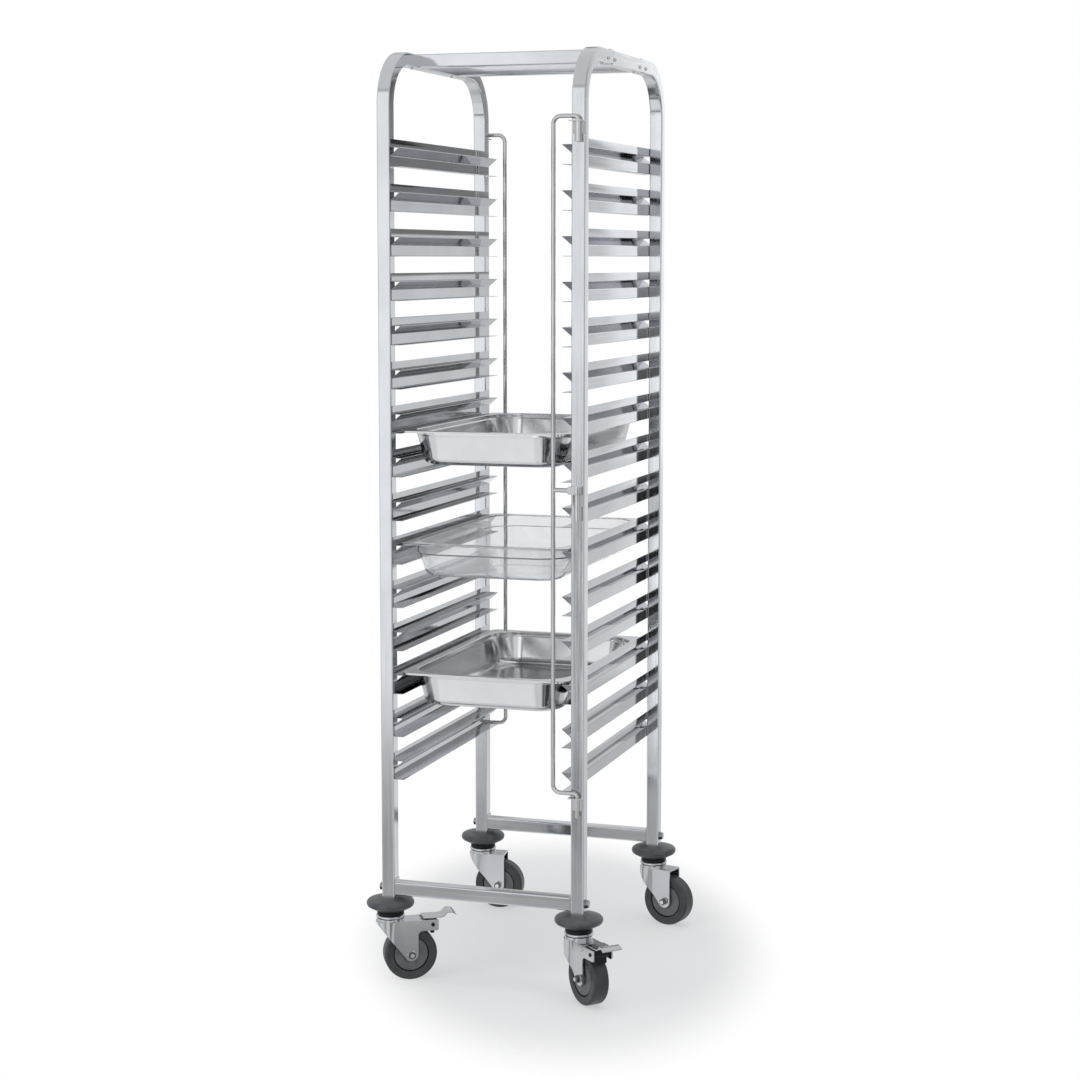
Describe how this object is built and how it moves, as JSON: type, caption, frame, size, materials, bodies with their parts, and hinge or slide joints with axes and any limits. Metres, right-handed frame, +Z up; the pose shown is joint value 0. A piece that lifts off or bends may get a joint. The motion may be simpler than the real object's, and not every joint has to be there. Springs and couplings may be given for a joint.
{
  "type": "gastronorm tray trolley",
  "caption": "Tall narrow stainless trolley of square tube with folded pan runners, hanging pans, swinging retaining bars at both ends and swivel casters with bumpers, the front ones braked.",
  "frame": {"origin": "on the floor, midway between the four legs", "axes": "+X to the right seen from the front, +Y to the rear along the runners, +Z up"},
  "size_m": [0.5185, 0.6688, 1.735],
  "materials": {
    "frame_tube": "polished stainless tube",
    "runner_sheet": "bright folded stainless sheet",
    "pan_steel": "polished pressed stainless",
    "pan_clear": "clear moulded plastic",
    "retaining_rod": "polished round rod",
    "bracket_steel": "satin stainless",
    "fastener": "plain stainless",
    "caster_steel": "bright plated steel",
    "bumper_rubber": "grey moulded rubber",
    "tyre_rubber": "non-marking grey rubber",
    "wheel_centre": "grey moulded plastic"
  },
  "bodies": {
    "frame": {"front_upright_left": "frame_tube", "front_upright_right": "frame_tube", "rear_upright_left": "frame_tube", "rear_upright_right": "frame_tube", "top_side_rail_left": "frame_tube", "top_side_rail_right": "frame_tube", "top_cross_bar_front": "frame_tube", "top_cross_bar_rear": "frame_tube", "bottom_cross_bar_front": "frame_tube", "bottom_cross_bar_rear": "frame_tube", "top_joint_screws": "fastener", "bottom_bar_bolts": "fastener", "runner_pair_01": "runner_sheet", "runner_pair_02": "runner_sheet", "runner_pair_03": "runner_sheet", "runner_pair_04": "runner_sheet", "runner_pair_05": "runner_sheet", "runner_pair_06": "runner_sheet", "runner_pair_07": "runner_sheet", "runner_pair_08": "runner_sheet", "runner_pair_09": "runner_sheet", "runner_pair_10": "runner_sheet", "runner_pair_11": "runner_sheet", "runner_pair_12": "runner_sheet", "runner_pair_13": "runner_sheet", "runner_pair_14": "runner_sheet", "runner_pair_15": "runner_sheet", "bar_brackets_front": "bracket_steel", "bar_brackets_rear": "bracket_steel", "bumper_front_left": "bumper_rubber", "caster_stem_front_left": "caster_steel", "bumper_front_right": "bumper_rubber", "caster_stem_front_right": "caster_steel", "bumper_rear_left": "bumper_rubber", "caster_stem_rear_left": "caster_steel", "bumper_rear_right": "bumper_rubber", "caster_stem_rear_right": "caster_steel"},
    "bar_front": {"retaining_bar_front": "retaining_rod"},
    "bar_rear": {"retaining_bar_rear": "retaining_rod"},
    "pan_upper": {"pan_upper_steel": "pan_steel"},
    "pan_middle": {"pan_middle_clear": "pan_clear"},
    "pan_lower": {"pan_lower_steel": "pan_steel"},
    "caster_front_left": {"caster_fork_front_left": "caster_steel", "wheel_axle_front_left": "fastener"},
    "wheel_front_left": {"tyre_front_left": "tyre_rubber", "wheel_core_front_left": "wheel_centre"},
    "pedal_front_left": {"brake_pedal_front_left": "caster_steel"},
    "caster_front_right": {"caster_fork_front_right": "caster_steel", "wheel_axle_front_right": "fastener"},
    "wheel_front_right": {"tyre_front_right": "tyre_rubber", "wheel_core_front_right": "wheel_centre"},
    "pedal_front_right": {"brake_pedal_front_right": "caster_steel"},
    "caster_rear_left": {"caster_fork_rear_left": "caster_steel", "wheel_axle_rear_left": "fastener"},
    "wheel_rear_left": {"tyre_rear_left": "tyre_rubber", "wheel_core_rear_left": "wheel_centre"},
    "caster_rear_right": {"caster_fork_rear_right": "caster_steel", "wheel_axle_rear_right": "fastener"},
    "wheel_rear_right": {"tyre_rear_right": "tyre_rubber", "wheel_core_rear_right": "wheel_centre"}
  },
  "joints": [
    {"name": "caster_swivel_front_left", "type": "hinge", "parent": "frame", "child": "caster_front_left", "pos_m": [-0.1855, -0.2625, 0.118], "axis": [0, 0, 1], "continuous": true},
    {"name": "wheel_spin_front_left", "type": "hinge", "parent": "caster_front_left", "child": "wheel_front_left", "pos_m": [-0.15421, -0.2437, 0.05], "axis": [-0.515, 0.8572, 0], "continuous": true},
    {"name": "brake_pedal_front_left", "type": "hinge", "parent": "caster_front_left", "child": "pedal_front_left", "pos_m": [-0.11907, -0.22259, 0.1055], "axis": [-0.515, 0.8572, 0], "range_deg": [0, 22]},
    {"name": "caster_swivel_front_right", "type": "hinge", "parent": "frame", "child": "caster_front_right", "pos_m": [0.1855, -0.2625, 0.118], "axis": [0, 0, 1], "continuous": true},
    {"name": "wheel_spin_front_right", "type": "hinge", "parent": "caster_front_right", "child": "wheel_front_right", "pos_m": [0.21198, -0.28763, 0.05], "axis": [0.6884, 0.7254, 0], "continuous": true},
    {"name": "brake_pedal_front_right", "type": "hinge", "parent": "caster_front_right", "child": "pedal_front_right", "pos_m": [0.24172, -0.31585, 0.1055], "axis": [0.6884, 0.7254, 0], "range_deg": [0, 22]},
    {"name": "caster_swivel_rear_left", "type": "hinge", "parent": "frame", "child": "caster_rear_left", "pos_m": [-0.1855, 0.2625, 0.118], "axis": [0, 0, 1], "continuous": true},
    {"name": "wheel_spin_rear_left", "type": "hinge", "parent": "caster_rear_left", "child": "wheel_rear_left", "pos_m": [-0.1492, 0.26632, 0.05], "axis": [-0.1045, 0.9945, 0], "continuous": true},
    {"name": "caster_swivel_rear_right", "type": "hinge", "parent": "frame", "child": "caster_rear_right", "pos_m": [0.1855, 0.2625, 0.118], "axis": [0, 0, 1], "continuous": true},
    {"name": "wheel_spin_rear_right", "type": "hinge", "parent": "caster_rear_right", "child": "wheel_rear_right", "pos_m": [0.22067, 0.25275, 0.05], "axis": [0.2672, 0.9636, 0], "continuous": true},
    {"name": "retaining_bar_front_hinge", "type": "hinge", "parent": "frame", "child": "bar_front", "pos_m": [0.188, -0.283, 0.9], "axis": [0, 0, 1], "range_deg": [0, 180]},
    {"name": "retaining_bar_rear_hinge", "type": "hinge", "parent": "frame", "child": "bar_rear", "pos_m": [-0.188, 0.283, 0.9], "axis": [0, 0, 1], "range_deg": [0, 180]},
    {"name": "pan_upper_slide", "type": "slide", "parent": "frame", "child": "pan_upper", "axis": [0, 1, 0], "range_m": [-0.011, 0.011]},
    {"name": "pan_middle_slide", "type": "slide", "parent": "frame", "child": "pan_middle", "axis": [0, 1, 0], "range_m": [-0.011, 0.011]},
    {"name": "pan_lower_slide", "type": "slide", "parent": "frame", "child": "pan_lower", "axis": [0, 1, 0], "range_m": [-0.011, 0.011]}
  ]
}
